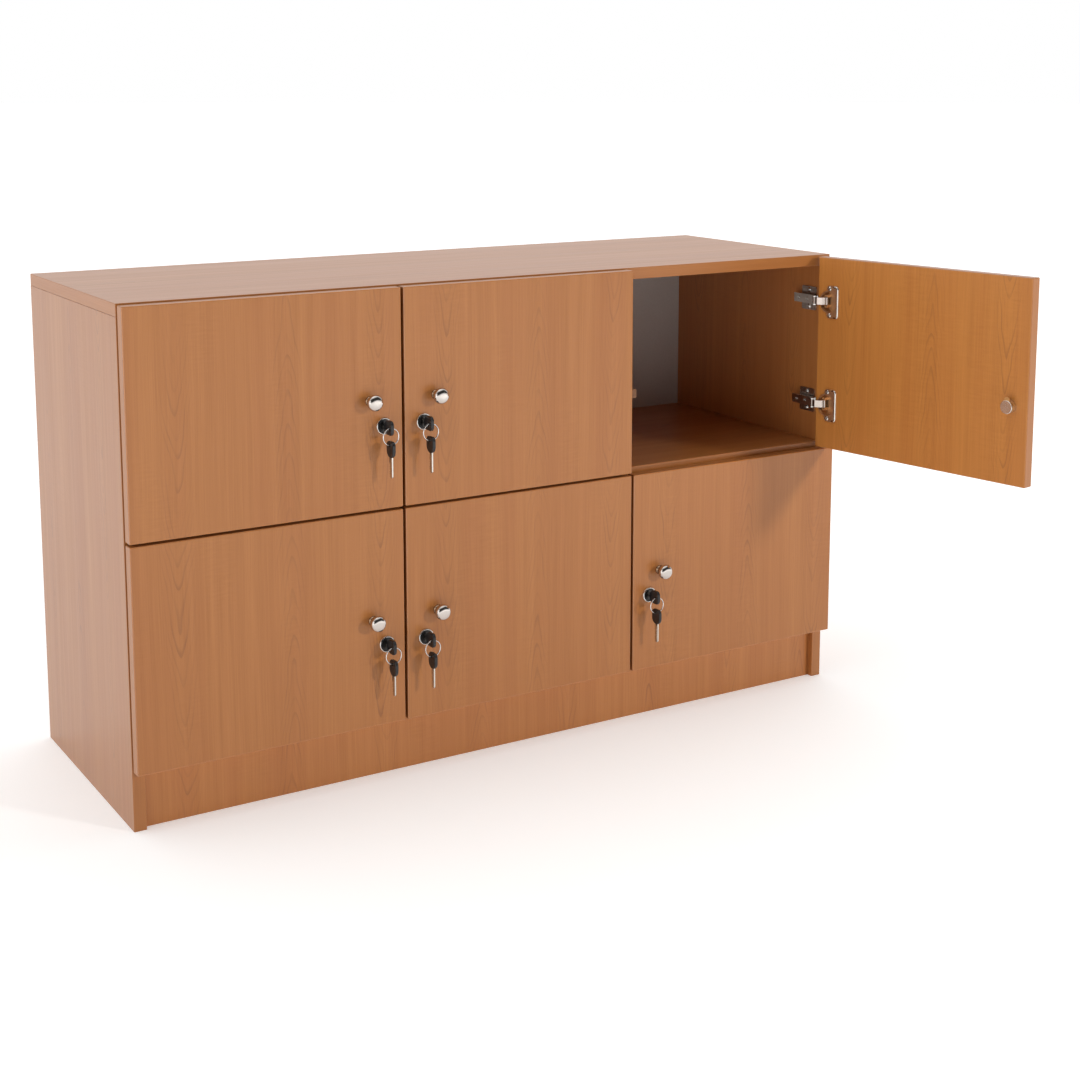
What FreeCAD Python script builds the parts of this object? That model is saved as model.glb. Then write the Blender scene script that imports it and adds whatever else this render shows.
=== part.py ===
import FreeCAD, Part
import math
import os
from FreeCAD import Vector as V

# Low locker cabinet: three columns, two rows, six overlay doors.
# Frame: +X to the right seen from the front, +Y to the back, +Z up, millimetres.
# Origin: on the floor, under the middle of the front plinth rail.

# ---------------------------------------------------------------- carcass
WIDTH = 1200.0          # overall width of the carcass
DEPTH = 400.0           # depth of the side panels
HEIGHT = 720.0          # floor to upper face of the top panel
BOARD = 18.0            # laminated chipboard
PLINTH_H = 80.0         # height of the plinth rails
PLINTH_BACK = 10.0      # plinth front behind the front edge of the sides
SHELF_Z = 391.0         # underside of the middle shelves
DIV_X = 197.0           # centre planes of the two dividers
HDF = 4.0               # back panel thickness
REBATE = 8.0            # width of the rebate that takes the back panel
REBATE_D = 5.0          # depth of that rebate from the rear edge
EDGE_R = 1.0            # rounding of the edged boards
DOWEL_R = 4.0
DOWEL_HOLE_R = 4.05
DOWEL_L = 30.0

# ---------------------------------------------------------------- doors
DOOR_T = 18.0
DOOR_EDGE_R = 1.6       # rounding of the door edging
DOOR_GAP = 2.5          # between carcass front and door back
SIDE_INSET = 1.0        # outer door edge inside the outer face of the side
COL_GAP = 4.0           # between neighbouring doors in a row
LOW_Z0, LOW_Z1 = 85.5, 400.0
UP_Z0, UP_Z1 = 403.5, 718.0
OPEN_DEG = 100.0        # full opening of a door
KNOB_IN = 50.0          # knob axis from the free edge
LOCK_IN = 29.5          # lock axis from the free edge
LOCK_DROP = 37.0        # lock axis below the middle of the door

# ---------------------------------------------------------------- concealed hinge
HINGE_END = 72.0        # hinge centre from the upper and lower door edge
CUP_A = 22.5            # cup centre from the hinge edge
CUP_R = 17.5
CUP_DEPTH = 13.0
CUP_WALL = 0.8
FLANGE_T = 1.2
P1 = (34.0, -5.0)       # link pin in the arm: distance from hinge edge, y from carcass front
P2 = (13.0, -9.0)       # link pin in the cup, door closed
LINK_DEG = 48.0         # turn of the link over the full opening
LINK_BEND = ((0.3, 5.0), (0.7, 5.0))
LINK_T = 1.8
LINK_H = 11.4
CHEEK_Z0, CHEEK_Z1 = 6.0, 7.3    # cheeks of the arm beside the link
PIN_R = 1.5
PIN_CLEAR = 0.05
PLATE_B, PLATE_DZ = 26.0, 13.8   # wing screws of the mounting plate
CUP_SCREW_A, CUP_SCREW_DZ = 24.0, 21.8   # screws of the cup flange
RIM_R = 1.6             # rolled rim on the free side of the cup flange

# ---------------------------------------------------------------- lock, key, knob
ROSETTE_R = 12.0
LOCK_R = 10.0
PLUG_R = 6.45
PLUG_BORE_R = 6.5
CAM_REACH = 15.0
CAP_R = 10.2             # round nut that closes the inner end of the lock
CAP_T = 2.4
KEY_HEAD_L = 24.0
KEY_HEAD_W = 21.0
KEY_HEAD_T = 5.0
KEY_BLADE_L = 29.0
KEY_BLADE_W = 7.6
KEY_BLADE_T = 2.0
KEY_IN = 25.8
RING_R = 12.0
RING_WIRE_R = 0.75
KNOB_R = 11.8
KNOB_L = 23.2

YF = -(PLINTH_BACK + BOARD / 2.0)      # carcass front plane
YB = YF + DEPTH                        # rear edge of the sides
Y_HDF = YB - REBATE_D                  # front face of the back panel
XI = WIDTH / 2.0 - BOARD               # inner face of the sides
Z_TOP = HEIGHT - BOARD                 # underside of the top panel
Z_BOT = PLINTH_H + BOARD               # upper face of the bottom panel


def box(x0, x1, y0, y1, z0, z1):
    return Part.makeBox(x1 - x0, y1 - y0, z1 - z0, V(x0, y0, z0))


def cyl(p, d, r, h):
    return Part.makeCylinder(r, h, V(*p), V(*d))


def cut(s, *tools):
    for t in tools:
        s = s.cut(t)
    return s


def fuse(s, *others):
    for o in others:
        s = s.fuse(o)
    return s.removeSplitter()


def fillet_where(s, r, test):
    edges = [e for e in s.Edges if test(e)]
    return s.makeFillet(r, edges) if edges else s


def along(e, axis):
    a, b = e.Vertexes[0].Point, e.Vertexes[-1].Point
    d = (b - a).normalize()
    return abs(d.dot(axis)) > 0.999


def prism(points, z0, z1):
    w = Part.makePolygon([V(p[0], p[1], z0) for p in points] + [V(points[0][0], points[0][1], z0)])
    return Part.Face(w).extrude(V(0, 0, z1 - z0))


def revolve(profile, origin, axis):
    """Profile of (radius, distance) pairs turned about an axis through origin."""
    w = Part.makePolygon([V(r, 0, h) for r, h in profile] + [V(profile[0][0], 0, profile[0][1])])
    s = Part.Face(w).revolve(V(0, 0, 0), V(0, 0, 1), 360)
    s.Placement = FreeCAD.Placement(V(*origin), FreeCAD.Rotation(V(0, 0, 1), V(*axis)))
    return s


def turned_profile(points, origin, axis):
    """Smooth outline through (radius, distance) points, turned about an axis; the flat back is at distance 0."""
    c = Part.BSplineCurve()
    c.interpolate([V(r, 0, h) for r, h in points])
    end = points[-1]
    w = Part.Wire([Part.LineSegment(V(0, 0, points[0][1]), V(points[0][0], 0, points[0][1])).toShape(), c.toShape(),
                   Part.LineSegment(V(end[0], 0, end[1]), V(0, 0, end[1])).toShape(),
                   Part.LineSegment(V(0, 0, end[1]), V(0, 0, points[0][1])).toShape()])
    s = Part.Face(w).revolve(V(0, 0, 0), V(0, 0, 1), 360)
    s.Placement = FreeCAD.Placement(V(*origin), FreeCAD.Rotation(V(0, 0, 1), V(*axis)))
    return s


PARTS = {}


def add(node, *solids):
    out = PARTS.setdefault(node, [])
    for s in solids:
        for q in s.Solids:
            if q.Volume > 0.01:
                out.append(q)


# ================================================================ carcass boards
DOWEL_Y = (YF + 45.0, YF + 200.0, YF + 335.0)
DOWEL_SINK = 12.0        # depth of a dowel in the face of a board
dowels = []
holes_side = {-1: [], 1: []}
holes_top = []
holes_bottom = []
holes_div = {-1: [], 1: []}
holes_shelf = []
holes_plinth = []


def dowel_x(x_joint, into, y, z):
    """A dowel along X: DOWEL_SINK deep in the face at x_joint on the 'into' side."""
    x0 = x_joint + into * DOWEL_SINK
    x1 = x0 - into * DOWEL_L
    lo, hi = min(x0, x1), max(x0, x1)
    dowels.append(cyl((lo, y, z), (1, 0, 0), DOWEL_R, hi - lo))
    return cyl((lo - 0.5, y, z), (1, 0, 0), DOWEL_HOLE_R, hi - lo + 1.0)


def dowel_z(z_joint, into, x, y):
    z0 = z_joint + into * DOWEL_SINK
    z1 = z0 - into * DOWEL_L
    lo, hi = min(z0, z1), max(z0, z1)
    dowels.append(cyl((x, y, lo), (0, 0, 1), DOWEL_R, hi - lo))
    return cyl((x, y, lo - 0.5), (0, 0, 1), DOWEL_HOLE_R, hi - lo + 1.0)


for sx in (-1, 1):
    for y in DOWEL_Y:
        h = dowel_z(Z_TOP, 1, sx * (WIDTH / 2.0 - BOARD / 2.0), y)       # side into top
        holes_side[sx].append(h)
        holes_top.append(h)
        h = dowel_x(sx * XI, sx, y, PLINTH_H + BOARD / 2.0)              # bottom into side
        holes_side[sx].append(h)
        holes_bottom.append(h)
        h = dowel_z(Z_TOP, 1, sx * DIV_X, y)                             # divider into top
        holes_div[sx].append(h)
        holes_top.append(h)
        h = dowel_z(Z_BOT, -1, sx * DIV_X, y)                            # divider into bottom
        holes_div[sx].append(h)
        holes_bottom.append(h)
    for y in (YF + 45.0, YF + 335.0):
        h = dowel_x(sx * XI, sx, y, SHELF_Z + BOARD / 2.0)               # outer shelf into side
        holes_side[sx].append(h)
        holes_shelf.append(h)
    for z in (22.0, 58.0):
        h = dowel_x(sx * XI, sx, 0.0, z)                                 # front rail into side
        holes_side[sx].append(h)
        holes_plinth.append(h)
        h = dowel_x(sx * XI, sx, Y_HDF - BOARD / 2.0 - 6.0, z)           # rear rail into side
        holes_side[sx].append(h)
        holes_plinth.append(h)
# shelves meet the dividers on small dowels, staggered so that the two sides of a divider miss
for sx in (-1, 1):
    for face, dy in ((-1, 0.0), (1, 20.0)):
        for y in (YF + 45.0 + dy, YF + 315.0 + dy):
            x_face = sx * DIV_X + face * BOARD / 2.0
            h = dowel_x(x_face, -face, y, SHELF_Z + BOARD / 2.0)
            holes_div[sx].append(h)
            holes_shelf.append(h)


# ================================================================ doors and their fittings
# Each door is drawn with its hinge edge at a = 0 and the door running to +a (hinged on the
# left); doors hinged on the right are the mirror image.  b is y counted from the carcass front.
def hinge_arm(aw, z):
    """Pressed steel arm: two cheeks and a skin, from the plate to the pin P1."""
    n = 2.3
    ia, ib = P1
    outl = [(aw + 12.0, 52.0), (aw + 12.0, 6.5 if aw > 10 else 10.0), (ia + 1.5, ib + 1.75), (ia + n, ib),
            (ia, ib - n), (ia - 2.2, ib - 1.4), (aw + 5.2, 3.2 if aw > 10 else 3.0), (aw + 5.2, 52.0)]
    cheeks = [prism(outl, z - CHEEK_Z1, z - CHEEK_Z0), prism(outl, z + CHEEK_Z0, z + CHEEK_Z1)]
    t = 1.5
    b1 = 6.5 if aw > 10 else 10.0
    dx, dy = (ia + 1.5) - (aw + 12.0), (ib + 1.75) - b1
    ln = math.hypot(dx, dy)
    nx, ny = -dy / ln, dx / ln
    if nx > 0:
        nx, ny = -nx, -ny
    e = 0.72
    q1 = (aw + 12.0, b1)
    q2 = (aw + 12.0 + dx * e, b1 + dy * e)
    skin = prism([(aw + 12.0, 52.0), q1, q2, (q2[0] + nx * t, q2[1] + ny * t), (aw + 12.0 - t, b1 + 0.5),
                  (aw + 12.0 - t, 52.0)], z - CHEEK_Z1, z + CHEEK_Z1)
    tail = prism([(aw + 12.0, 52.0), (aw + 12.0, 50.5), (aw + 5.2, 50.5), (aw + 5.2, 52.0)], z - CHEEK_Z1, z + CHEEK_Z1)
    arm = fuse(cheeks[0], cheeks[1], skin, tail)
    arm = arm.cut(cyl((P1[0], P1[1], z - 12.0), (0, 0, 1), PIN_R + PIN_CLEAR, 24.0))
    arm = arm.cut(cyl((aw + 20.0, 20.0, z), (-1, 0, 0), 3.1, 10.5))
    arm = arm.cut(cyl((aw + 20.0, 41.0, z), (-1, 0, 0), 3.1, 10.5))
    # depth screw at the rear, side-adjusting screw in front
    screws = []
    for b in (20.0, 41.0):
        s = cyl((aw + 3.2, b, z), (1, 0, 0), 2.0, 7.4).fuse(cyl((aw + 10.6, b, z), (1, 0, 0), 3.0, 1.8))
        s = s.cut(box(aw + 11.7, aw + 12.6, b - 2.2, b + 2.2, z - 0.45, z + 0.45))
        s = s.cut(box(aw + 11.7, aw + 12.6, b - 0.45, b + 0.45, z - 2.2, z + 2.2))
        screws.append(s.removeSplitter())
    return [arm] + screws


def hinge_plate(aw, z):
    """Mounting plate: broad square wings, a raised saddle for the arm and two wing screws."""
    wing = box(aw, aw + 2.0, 8.0, 44.0, z - 19.5, z + 19.5)
    wing = fillet_where(wing, 2.5, lambda e: along(e, V(1, 0, 0)))
    saddle = box(aw, aw + 4.6, 3.5, 47.0, z - 5.6, z + 5.6)
    saddle = fillet_where(saddle, 1.2, lambda e: along(e, V(0, 1, 0)) and e.CenterOfMass.x > aw + 4)
    plate = fuse(wing, saddle)
    out = []
    for dz in (-PLATE_DZ, PLATE_DZ):
        plate = plate.cut(cyl((aw - 1.0, PLATE_B, z + dz), (1, 0, 0), 2.6, 5.0))
    for b in (20.0, 41.0):
        plate = plate.cut(cyl((aw + 1.0, b, z), (1, 0, 0), 2.1, 5.0))
    out.append(plate)
    for dz in (-PLATE_DZ, PLATE_DZ):
        head = Part.makeCone(4.2, 2.4, 2.0, V(aw + 2.0, PLATE_B, z + dz), V(1, 0, 0))
        s = head.fuse(cyl((aw - 11.0, PLATE_B, z + dz), (1, 0, 0), 2.5, 13.0))
        s = s.cut(box(aw + 3.2, aw + 4.5, PLATE_B - 1.9, PLATE_B + 1.9, z + dz - 0.4, z + dz + 0.4))
        s = s.cut(box(aw + 3.2, aw + 4.5, PLATE_B - 0.4, PLATE_B + 0.4, z + dz - 1.9, z + dz + 1.9))
        out.append(s.removeSplitter())
    return out


def plate_holes(aw, z):
    return [cyl((aw - 11.5, PLATE_B, z + dz), (1, 0, 0), 2.5, 12.0) for dz in (-PLATE_DZ, PLATE_DZ)]


def flange_rim(bi, z):
    """Half-round rim along the free side of the flange, turned in at both ends."""
    a0, a1, r, h = 34.5, 41.0, 4.0, 25.0
    b = bi + FLANGE_T
    k = r * (1.0 - math.sqrt(0.5))
    path = Part.Wire([
        Part.LineSegment(V(a0, b, z + h), V(a1 - r, b, z + h)).toShape(),
        Part.Arc(V(a1 - r, b, z + h), V(a1 - k, b, z + h - k), V(a1, b, z + h - r)).toShape(),
        Part.LineSegment(V(a1, b, z + h - r), V(a1, b, z - h + r)).toShape(),
        Part.Arc(V(a1, b, z - h + r), V(a1 - k, b, z - h + k), V(a1 - r, b, z - h)).toShape(),
        Part.LineSegment(V(a1 - r, b, z - h), V(a0, b, z - h)).toShape()])
    ring = Part.Wire([Part.Circle(V(a0, b, z + h), V(1, 0, 0), RIM_R).toShape()])
    rim = path.makePipeShell([ring], True, False)
    for s in (-1, 1):
        rim = rim.fuse(Part.makeSphere(RIM_R, V(a0, b, z + s * h)))
    return rim.common(box(a0 - 5.0, a1 + 5.0, bi + FLANGE_T / 2.0, b + 5.0, z - 40.0, z + 40.0))


def hinge_cup(z):
    """Pressed cup with its flange, rolled rim, two pin lugs and two flange screws."""
    bi = -DOOR_GAP                      # door back face
    cup = cyl((CUP_A, bi, z), (0, -1, 0), CUP_R, CUP_DEPTH)
    fl = box(18.5, 43.0, bi, bi + FLANGE_T, z - 27.0, z + 27.0)
    fl = fillet_where(fl, 5.5, lambda e: along(e, V(0, 1, 0)))
    disc = cyl((CUP_A, bi, z), (0, 1, 0), CUP_R + 1.2, FLANGE_T)
    body = fuse(cup, fl, disc, flange_rim(bi, z))
    body = body.cut(cyl((CUP_A, bi + 5.0, z), (0, -1, 0), CUP_R - CUP_WALL, 5.0 + CUP_DEPTH - CUP_WALL))
    lugs = []
    for s in (-1, 1):
        z0, z1 = (z + 6.2, z + 10.5) if s > 0 else (z - 10.5, z - 6.2)
        lug = box(P2[0] - 2.6, P2[0] + 2.6, bi - CUP_DEPTH + 0.2, P2[1] + 2.6, z0, z1)
        lugs.append(lug)
    body = fuse(body, *lugs)
    body = body.cut(box(0.0, 12.0, bi, bi + 4.0, z - 6.6, z + 6.6))
    body = body.cut(cyl((P2[0], P2[1], z - 11.0), (0, 0, 1), PIN_R + PIN_CLEAR, 22.0))
    out = []
    sa = CUP_SCREW_A
    for dz in (-CUP_SCREW_DZ, CUP_SCREW_DZ):
        body = body.cut(cyl((sa, bi - 1.0, z + dz), (0, 1, 0), 2.1, 6.0))
    out.append(body)
    for dz in (-CUP_SCREW_DZ, CUP_SCREW_DZ):
        s = Part.makeCone(3.6, 2.2, 1.1, V(sa, bi + FLANGE_T, z + dz), V(0, 1, 0))
        s = s.fuse(cyl((sa, bi - 12.0, z + dz), (0, 1, 0), 2.0, 12.0 + FLANGE_T))
        s = s.cut(box(sa - 1.6, sa + 1.6, bi + FLANGE_T + 0.5, bi + FLANGE_T + 2, z + dz - 0.35, z + dz + 0.35))
        s = s.cut(box(sa - 0.35, sa + 0.35, bi + FLANGE_T + 0.5, bi + FLANGE_T + 2, z + dz - 1.6, z + dz + 1.6))
        out.append(s.removeSplitter())
    return out


def hinge_link(z):
    """Bent link with its two rivet pins."""
    p1, p2 = V(P1[0], P1[1], 0), V(P2[0], P2[1], 0)
    d = p2 - p1
    ln = d.Length
    u = V(d).normalize()
    v = V(-u.y, u.x, 0)
    if v.y > 0:                          # the bend goes into the cup
        v = v * -1
    pts = [p1] + [p1 + u * (ln * f) + v * h for f, h in LINK_BEND] + [p2]
    z0 = z - LINK_H / 2.0
    s = None
    for i in range(len(pts) - 1):
        q = pts[i + 1] - pts[i]
        n = V(-q.y, q.x, 0).normalize() * (LINK_T / 2.0)
        seg = prism([(pts[i] + n)[:2], (pts[i + 1] + n)[:2], (pts[i + 1] - n)[:2], (pts[i] - n)[:2]], z0, z0 + LINK_H)
        s = seg if s is None else s.fuse(seg)
    for i, r in ((0, 2.0), (1, LINK_T / 2.0), (2, LINK_T / 2.0), (3, 2.2)):
        s = s.fuse(cyl((pts[i].x, pts[i].y, z0), (0, 0, 1), r, LINK_H))
    s = s.fuse(cyl((P1[0], P1[1], z - 7.8), (0, 0, 1), PIN_R, 15.6))
    s = s.fuse(cyl((P2[0], P2[1], z - 9.8), (0, 0, 1), PIN_R, 19.6))
    return s.removeSplitter()


def key_shape(length_axis, o, normal):
    """A key with its bow hole at point o, blade along length_axis, flat sides facing normal."""
    hole_to_tip = 18.0
    # drawn flat: u along the blade, w across, t through the thickness
    hl, hw, ht = KEY_HEAD_L, KEY_HEAD_W, KEY_HEAD_T
    u0 = -(hl - hole_to_tip)
    u1 = hole_to_tip
    c = hw / 2.0
    r = 6.5                              # outer corners; the blade end is a half round
    k = r * (1.0 - math.sqrt(0.5))
    bow = Part.Face(Part.Wire([
        Part.LineSegment(V(u0 + r, -c, 0), V(u1 - c, -c, 0)).toShape(),
        Part.Arc(V(u1 - c, -c, 0), V(u1, 0, 0), V(u1 - c, c, 0)).toShape(),
        Part.LineSegment(V(u1 - c, c, 0), V(u0 + r, c, 0)).toShape(),
        Part.Arc(V(u0 + r, c, 0), V(u0 + k, c - k, 0), V(u0, c - r, 0)).toShape(),
        Part.LineSegment(V(u0, c - r, 0), V(u0, r - c, 0)).toShape(),
        Part.Arc(V(u0, r - c, 0), V(u0 + k, k - c, 0), V(u0 + r, -c, 0)).toShape(),
    ])).extrude(V(0, 0, ht))
    bow.translate(V(0, 0, -ht / 2.0))
    bow = bow.makeFillet(1.5, [e for e in bow.Edges if abs(abs(e.CenterOfMass.z) - ht / 2.0) < 1e-6])
    bow = bow.cut(Part.makeCylinder(2.0, ht + 2.0, V(0, 0, -ht / 2.0 - 1.0)))
    b0, b1 = u1 - 6.0, u1 + KEY_BLADE_L
    w = KEY_BLADE_W / 2.0
    teeth = [(b0, -w), (b1 - 2.0, -w), (b1, -w + 2.0), (b1, 0.6)]
    n = 5
    span = 19.0
    depths = (1.6, 0.7, 2.0, 1.1, 1.7)
    x = b1 - 2.4
    teeth.append((x, w - 0.4))
    for k in range(n):
        dk = depths[k]
        teeth += [(x - 0.9, w - dk), (x - 2.3, w - dk), (x - 3.2, w - 0.2)]
        x -= 3.6
        teeth.append((x, w - 0.2))
    teeth += [(b0, w)]
    blade = prism(teeth, -KEY_BLADE_T / 2.0, KEY_BLADE_T / 2.0)
    groove = box(u1 + 3.0, b1 + 1.0, -1.6, -0.6, KEY_BLADE_T / 2.0 - 0.5, KEY_BLADE_T)
    blade = blade.cut(groove)
    bow = bow.cut(box(b0, u1 + 1.0, -w, w, -KEY_BLADE_T / 2.0, KEY_BLADE_T / 2.0))
    ux = V(*length_axis)
    nz = V(*normal)
    wy = nz.cross(ux)
    m = FreeCAD.Matrix(ux.x, wy.x, nz.x, o[0], ux.y, wy.y, nz.y, o[1], ux.z, wy.z, nz.z, o[2], 0, 0, 0, 1)
    return [moved(bow, m), moved(blade, m)]


def moved(s, m):
    q = s.copy()
    q.Placement = FreeCAD.Placement(m).multiply(q.Placement)
    return q


def build_door(w, z0, z1, aw):
    """All pieces of one door in the left-hinged drawing frame, door closed."""
    bo = -DOOR_GAP - DOOR_T              # front face
    bi = -DOOR_GAP                       # back face
    zm = (z0 + z1) / 2.0
    zl = zm - LOCK_DROP
    al, ak = w - LOCK_IN, w - KNOB_IN
    hz = (z0 + HINGE_END, z1 - HINGE_END)
    p = {}
    panel = box(0, w, bo, bi, z0, z1)
    panel = panel.makeFillet(DOOR_EDGE_R, panel.Edges)
    for z in hz:
        panel = panel.cut(cyl((CUP_A, bi + 1.0, z), (0, -1, 0), CUP_R + 0.05, 1.0 + CUP_DEPTH + 0.05))
        for dz in (-CUP_SCREW_DZ, CUP_SCREW_DZ):
            panel = panel.cut(cyl((CUP_SCREW_A, bi + 1.0, z + dz), (0, -1, 0), 2.0, 13.5))
    panel = panel.cut(cyl((al, bo - 1.0, zl), (0, 1, 0), LOCK_R + 0.05, DOOR_T + 2.0))
    panel = panel.cut(cyl((ak, bo - 1.0, zm), (0, 1, 0), 2.05, 13.5))
    p["door_panel"] = [panel]
    p["hinge_cups"] = [s for z in hz for s in hinge_cup(z)]
    p["hinge_links"] = [hinge_link(z) for z in hz]
    # knob: turned mushroom on its own stud
    prof = [(6.6, 0.0), (6.5, 0.9), (5.7, 2.1), (4.9, 3.8), (4.7, 5.6), (5.4, 7.4), (7.4, 9.0), (9.3, 10.9),
            (10.4, 13.4), (10.5, 15.6), (9.7, 17.9), (7.9, 19.7), (5.2, 20.7), (2.4, 21.0)]
    k = turned_profile([(q * KNOB_R / 10.6, h * KNOB_L / 21.0) for q, h in prof], (ak, bo, zm), (0, -1, 0))
    stud = cyl((ak, bo, zm), (0, 1, 0), 2.0, 12.0)
    p["knob"] = [k.fuse(stud).removeSplitter()]
    # lock: flange on the front, round body through the door
    ros = revolve([(PLUG_BORE_R, 0.0), (ROSETTE_R, 0.0), (ROSETTE_R, 2.3), (ROSETTE_R - 0.35, 3.1),
                   (ROSETTE_R - 1.0, 3.5), (ROSETTE_R - 1.65, 3.2), (ROSETTE_R - 2.0, 2.5), (ROSETTE_R - 2.2, 1.0),
                   (PLUG_BORE_R, 1.0)], (al, bo, zl), (0, -1, 0))
    tube = cyl((al, bo, zl), (0, 1, 0), LOCK_R, DOOR_T + 8.0).cut(cyl((al, bo - 1, zl), (0, 1, 0), PLUG_BORE_R, DOOR_T + 12.0))
    p["lock_housing"] = [ros.fuse(tube).removeSplitter()]
    pl0 = bo - 1.6                        # front face of the plug
    pl1 = bi + 8.2
    plug = cyl((al, pl0, zl), (0, 1, 0), PLUG_R, pl1 - pl0)
    plug = plug.cut(box(al - 1.25, al + 1.25, pl0 - 1.0, pl0 + KEY_IN + 0.6, zl - 4.1, zl + 4.1))
    cam = cyl((al, pl1, zl), (0, 1, 0), 9.6, 1.8)
    lobe = box(al - 4.5, al + 4.5, pl1, pl1 + 1.8, zl, zl + CAM_REACH)
    lobe = fillet_where(lobe, 3.0, lambda e: along(e, V(0, 1, 0)) and e.CenterOfMass.z > zl + 5)
    cam = fuse(cam, lobe)
    cam = cam.cut(cyl((al, pl1 - 1, zl), (0, 1, 0), 2.05, 4.0))
    plug = plug.cut(cyl((al, pl1 - 1.0, zl), (0, 1, 0), 2.0, 3.0))
    # closing nut: a plain round cap over the cam, its stud in the end of the plug
    nut = cyl((al, pl1 + 1.8, zl), (0, 1, 0), CAP_R, CAP_T)
    nut = nut.makeFillet(0.7, [e for e in nut.Edges if abs(e.CenterOfMass.y - (pl1 + 1.8 + CAP_T)) < 1e-6])
    nut = nut.fuse(cyl((al, pl1 - 1.0, zl), (0, 1, 0), 2.0, 3.0)).removeSplitter()
    p["lock_plug"] = [plug, cam, nut]
    # key in the lock: the bow stands upright, hole towards the user
    tip = pl0 + KEY_IN
    hole_b = tip - KEY_BLADE_L - 18.0
    hole = (al, hole_b, zl)
    p["key"] = key_shape((0, 1, 0), hole, (1, 0, 0))
    ring = Part.makeTorus(RING_R, RING_WIRE_R, V(al, hole_b, zl - RING_R), V(0, 1, 0))
    spare = key_shape((0, 0, -1), (al, hole_b, zl - 2.0 * RING_R), (1, 0, 0))
    p["spare_key"] = [ring] + spare
    # fixed fittings of this door on the carcass
    p["_arms"] = [s for z in hz for s in hinge_arm(aw, z)]
    p["_plates"] = [s for z in hz for s in hinge_plate(aw, z)]
    p["_plate_holes"] = [s for z in hz for s in plate_holes(aw, z)]
    aw2 = w - LOCK_IN + 22.5               # face of the divider at the lock
    base = box(aw2 - 1.6, aw2, 0.8, 24.0, zl - 13.0, zl + 13.0)
    base = fillet_where(base, 3.0, lambda e: along(e, V(1, 0, 0)) and e.CenterOfMass.y > 20)
    lip = box(aw2 - 11.0, aw2, 0.8, 2.4, zl - 7.0, zl + 7.0)
    lip = fillet_where(lip, 2.0, lambda e: along(e, V(0, 1, 0)) and e.CenterOfMass.x < aw2 - 5)
    strike = fuse(base, lip)
    sh, sscr = [], []
    for dz in (-7.0, 7.0):
        strike = strike.cut(cyl((aw2 + 1, 14.0, zl + dz), (-1, 0, 0), 1.9, 5.0))
        s = Part.makeCone(3.4, 2.0, 1.3, V(aw2 - 1.6, 14.0, zl + dz), V(-1, 0, 0))
        s = s.fuse(cyl((aw2 + 7.5, 14.0, zl + dz), (-1, 0, 0), 1.75, 9.1))
        s = s.cut(box(aw2 - 4.0, aw2 - 2.3, 14 - 0.35, 14 + 0.35, zl + dz - 1.5, zl + dz + 1.5))
        s = s.cut(box(aw2 - 4.0, aw2 - 2.3, 14 - 1.5, 14 + 1.5, zl + dz - 0.35, zl + dz + 0.35))
        sscr.append(s.removeSplitter())
        sh.append(cyl((aw2 - 0.5, 14.0, zl + dz), (1, 0, 0), 1.75, 8.3))
    p["_strikes"] = [strike] + sscr
    p["_strike_holes"] = sh
    return p


def place(s, xe, mirror):
    q = s.copy()
    if mirror:
        q = q.mirror(V(0, 0, 0), V(1, 0, 0))
    q.translate(V(xe, YF, 0))
    return q


def turned(s, centre, deg):
    q = s.copy()
    q.rotate(V(*centre), V(0, 0, 1), deg)
    return q


X_OUT = WIDTH / 2.0 - SIDE_INSET
half = COL_GAP / 2.0
COLUMNS = {
    "l": dict(xe=-X_OUT, w=X_OUT - DIV_X - half, mirror=False, aw=BOARD - SIDE_INSET),
    "m": dict(xe=DIV_X - half, w=2.0 * (DIV_X - half), mirror=True, aw=BOARD / 2.0 - half),
    "r": dict(xe=X_OUT, w=X_OUT - DIV_X - half, mirror=True, aw=BOARD - SIDE_INSET),
}
ROWS = {"u": (UP_Z0, UP_Z1), "l": (LOW_Z0, LOW_Z1)}
OPEN_DOOR = "ur"

for rk, (z0, z1) in ROWS.items():
    for ck, c in COLUMNS.items():
        tag = rk + ck
        p = build_door(c["w"], z0, z1, c["aw"])
        q = {k: [place(s, c["xe"], c["mirror"]) for s in v] for k, v in p.items()}
        if tag == OPEN_DOOR:
            sgn = 1.0 if c["mirror"] else -1.0
            fl = -1.0 if c["mirror"] else 1.0
            a1 = (c["xe"] + fl * P1[0], YF + P1[1], 0)
            a2 = (c["xe"] + fl * P2[0], YF + P2[1], 0)
            for k in list(q):
                if k.startswith("_"):
                    continue
                if k == "hinge_links":
                    q[k] = [turned(s, a1, -sgn * LINK_DEG) for s in q[k]]
                else:
                    q[k] = [turned(turned(s, a2, sgn * (OPEN_DEG + LINK_DEG)), a1, -sgn * LINK_DEG) for s in q[k]]
        for k, v in q.items():
            if not k.startswith("_"):
                add(k + "_" + tag, *v)
        add("hinge_arms", *q["_arms"])
        add("hinge_plates", *q["_plates"])
        add("strike_plates", *q["_strikes"])
        side = -1 if ck == "l" else 1
        (holes_div[1] if ck == "m" else holes_side[side]).extend(q["_plate_holes"])
        holes_div[1 if ck == "r" else -1].extend(q["_strike_holes"])

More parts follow.
